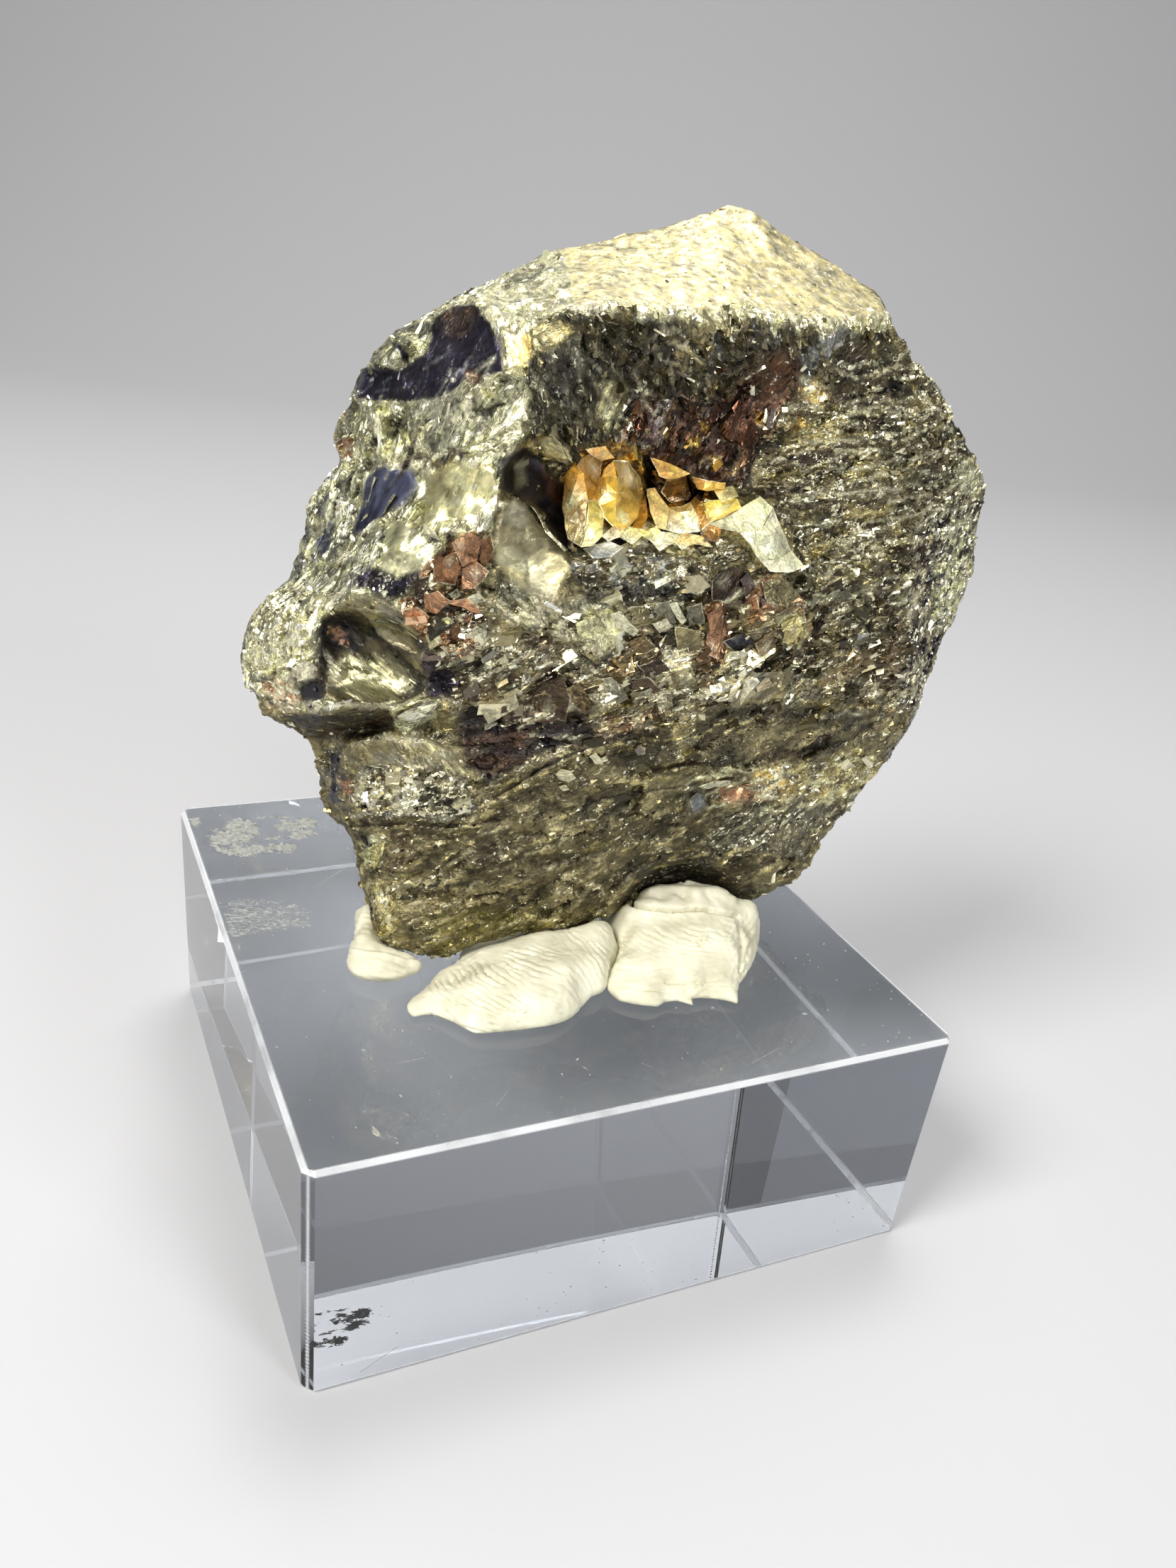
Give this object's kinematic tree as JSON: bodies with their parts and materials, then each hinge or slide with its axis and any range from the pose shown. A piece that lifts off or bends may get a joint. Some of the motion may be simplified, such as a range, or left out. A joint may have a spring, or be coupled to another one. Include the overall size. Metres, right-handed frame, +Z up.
{
  "type": "pyrite specimen",
  "caption": "Rough lump of natural pyrite standing on a clear square display block, held upright by soft white mineral tack.",
  "frame": {"origin": "centre of the display block's bottom face", "axes": "+Z up; +X to the right along the block's front edge; the lump's best face and the tack's lobes are towards -Y"},
  "size_m": [0.062, 0.05, 0.0738],
  "materials": {
    "pyrite": "satin",
    "acrylic": "gloss",
    "tack": "matte"
  },
  "bodies": {
    "root": {"pyrite_lump": "pyrite", "acrylic_block": "acrylic", "tack_left": "tack", "tack_right": "tack", "tack_dab": "tack"}
  },
  "joints": []
}
